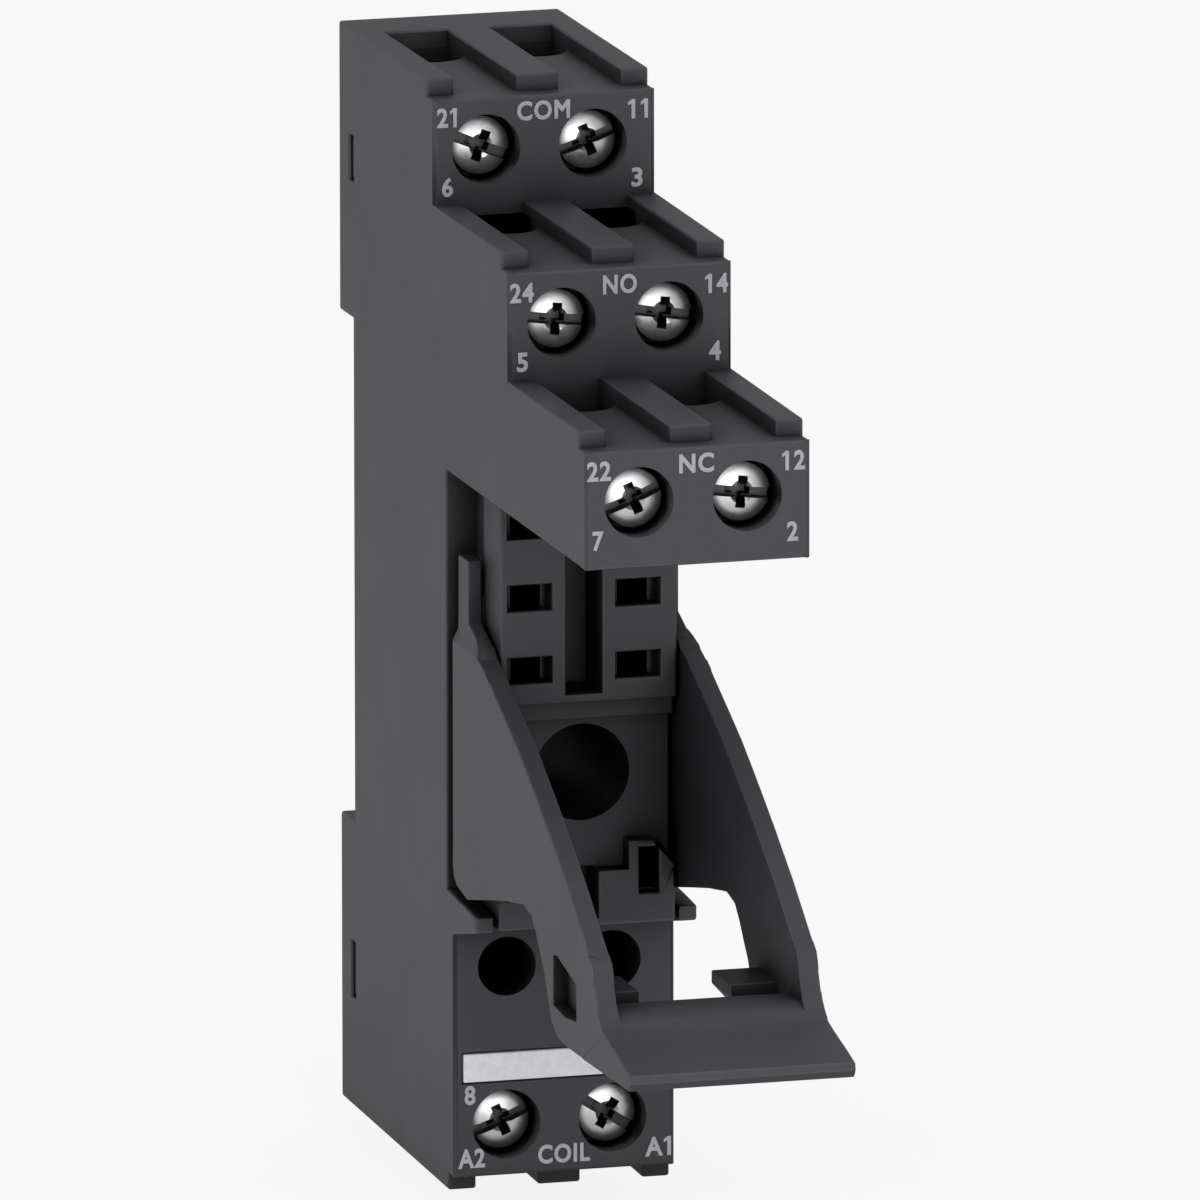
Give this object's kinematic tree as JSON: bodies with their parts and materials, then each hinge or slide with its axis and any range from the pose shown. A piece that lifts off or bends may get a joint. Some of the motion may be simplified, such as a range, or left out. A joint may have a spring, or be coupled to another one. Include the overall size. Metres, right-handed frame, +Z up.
{
  "type": "relay socket",
  "caption": "Narrow stepped relay socket for a 35 mm rail, with screw clamps on its tiers, a plug-in bay and a swinging retainer lever.",
  "frame": {"origin": "middle of the face that seats on the 35 mm rail, half way up its recess", "axes": "+Z up, +X to the right seen from the front, -Y out of the front, so +Y into the rail"},
  "size_m": [0.0156, 0.0717, 0.0776],
  "materials": {
    "housing_plastic": "matte",
    "cover_plastic": "matte",
    "lever_plastic": "matte",
    "foot_plastic": "matte",
    "marker_white": "matte",
    "screw_zinc": "zinc plated",
    "cage_zinc": "zinc plated",
    "spring_steel": "bright drawn",
    "contact_brass": "rolled"
  },
  "bodies": {
    "base": {"housing": "housing_plastic", "rear_cover": "cover_plastic", "marker_strip": "marker_white", "strip_21": "contact_brass", "strip_11": "contact_brass", "strip_24": "contact_brass", "strip_14": "contact_brass", "strip_22": "contact_brass", "strip_12": "contact_brass", "strip_a2": "contact_brass", "strip_a1": "contact_brass"},
    "lever": {"retainer_lever": "lever_plastic"},
    "foot": {"rail_foot": "foot_plastic", "foot_spring": "spring_steel"},
    "screw_21": {"screw_21": "screw_zinc"},
    "cage_21": {"cage_21": "cage_zinc"},
    "screw_11": {"screw_11": "screw_zinc"},
    "cage_11": {"cage_11": "cage_zinc"},
    "screw_24": {"screw_24": "screw_zinc"},
    "cage_24": {"cage_24": "cage_zinc"},
    "screw_14": {"screw_14": "screw_zinc"},
    "cage_14": {"cage_14": "cage_zinc"},
    "screw_22": {"screw_22": "screw_zinc"},
    "cage_22": {"cage_22": "cage_zinc"},
    "screw_12": {"screw_12": "screw_zinc"},
    "cage_12": {"cage_12": "cage_zinc"},
    "screw_a2": {"screw_a2": "screw_zinc"},
    "cage_a2": {"cage_a2": "cage_zinc"},
    "screw_a1": {"screw_a1": "screw_zinc"},
    "cage_a1": {"cage_a1": "cage_zinc"}
  },
  "joints": [
    {"name": "lever_swing", "type": "hinge", "parent": "base", "child": "lever", "pos_m": [0, -0.02575, 0.00435], "axis": [-1, 0, 0], "range_deg": [0, 41]},
    {"name": "foot_release", "type": "slide", "parent": "base", "child": "foot", "axis": [0, 0, -1], "range_m": [0, 0.0035], "stiffness_N_per_m": 1200, "springref_m": -0.0015, "deforming": ["foot_spring"]},
    {"name": "screw_21_turn", "type": "hinge", "parent": "base", "child": "screw_21", "pos_m": [-0.00408, -0.02035, 0.03295], "axis": [0, 1, 0], "range_deg": [0, 3250]},
    {"name": "cage_21_slide", "type": "slide", "parent": "base", "child": "cage_21", "axis": [0, -1, 0], "range_m": [0, 0.0045]},
    {"name": "screw_11_turn", "type": "hinge", "parent": "base", "child": "screw_11", "pos_m": [0.00342, -0.02035, 0.03295], "axis": [0, 1, 0], "range_deg": [0, 3250]},
    {"name": "cage_11_slide", "type": "slide", "parent": "base", "child": "cage_11", "axis": [0, -1, 0], "range_m": [0, 0.0045]},
    {"name": "screw_24_turn", "type": "hinge", "parent": "base", "child": "screw_24", "pos_m": [-0.00408, -0.03885, 0.0246], "axis": [0, 1, 0], "range_deg": [0, 3250]},
    {"name": "cage_24_slide", "type": "slide", "parent": "base", "child": "cage_24", "axis": [0, -1, 0], "range_m": [0, 0.0045]},
    {"name": "screw_14_turn", "type": "hinge", "parent": "base", "child": "screw_14", "pos_m": [0.00342, -0.03885, 0.0246], "axis": [0, 1, 0], "range_deg": [0, 3250]},
    {"name": "cage_14_slide", "type": "slide", "parent": "base", "child": "cage_14", "axis": [0, -1, 0], "range_m": [0, 0.0045]},
    {"name": "screw_22_turn", "type": "hinge", "parent": "base", "child": "screw_22", "pos_m": [-0.00408, -0.05755, 0.01605], "axis": [0, 1, 0], "range_deg": [0, 3250]},
    {"name": "cage_22_slide", "type": "slide", "parent": "base", "child": "cage_22", "axis": [0, -1, 0], "range_m": [0, 0.0045]},
    {"name": "screw_12_turn", "type": "hinge", "parent": "base", "child": "screw_12", "pos_m": [0.00342, -0.05755, 0.01605], "axis": [0, 1, 0], "range_deg": [0, 3250]},
    {"name": "cage_12_slide", "type": "slide", "parent": "base", "child": "cage_12", "axis": [0, -1, 0], "range_m": [0, 0.0045]},
    {"name": "screw_a2_turn", "type": "hinge", "parent": "base", "child": "screw_a2", "pos_m": [-0.00408, -0.02495, -0.03358], "axis": [0, 1, 0], "range_deg": [0, 3250]},
    {"name": "cage_a2_slide", "type": "slide", "parent": "base", "child": "cage_a2", "axis": [0, -1, 0], "range_m": [0, 0.0045]},
    {"name": "screw_a1_turn", "type": "hinge", "parent": "base", "child": "screw_a1", "pos_m": [0.00342, -0.02495, -0.03358], "axis": [0, 1, 0], "range_deg": [0, 3250]},
    {"name": "cage_a1_slide", "type": "slide", "parent": "base", "child": "cage_a1", "axis": [0, -1, 0], "range_m": [0, 0.0045]}
  ],
  "couplings": [
    {"joint": "screw_21_turn", "follows": "cage_21_slide", "rad_per_m": 12566},
    {"joint": "screw_11_turn", "follows": "cage_11_slide", "rad_per_m": 12566},
    {"joint": "screw_24_turn", "follows": "cage_24_slide", "rad_per_m": 12566},
    {"joint": "screw_14_turn", "follows": "cage_14_slide", "rad_per_m": 12566},
    {"joint": "screw_22_turn", "follows": "cage_22_slide", "rad_per_m": 12566},
    {"joint": "screw_12_turn", "follows": "cage_12_slide", "rad_per_m": 12566},
    {"joint": "screw_a2_turn", "follows": "cage_a2_slide", "rad_per_m": 12566},
    {"joint": "screw_a1_turn", "follows": "cage_a1_slide", "rad_per_m": 12566}
  ]
}
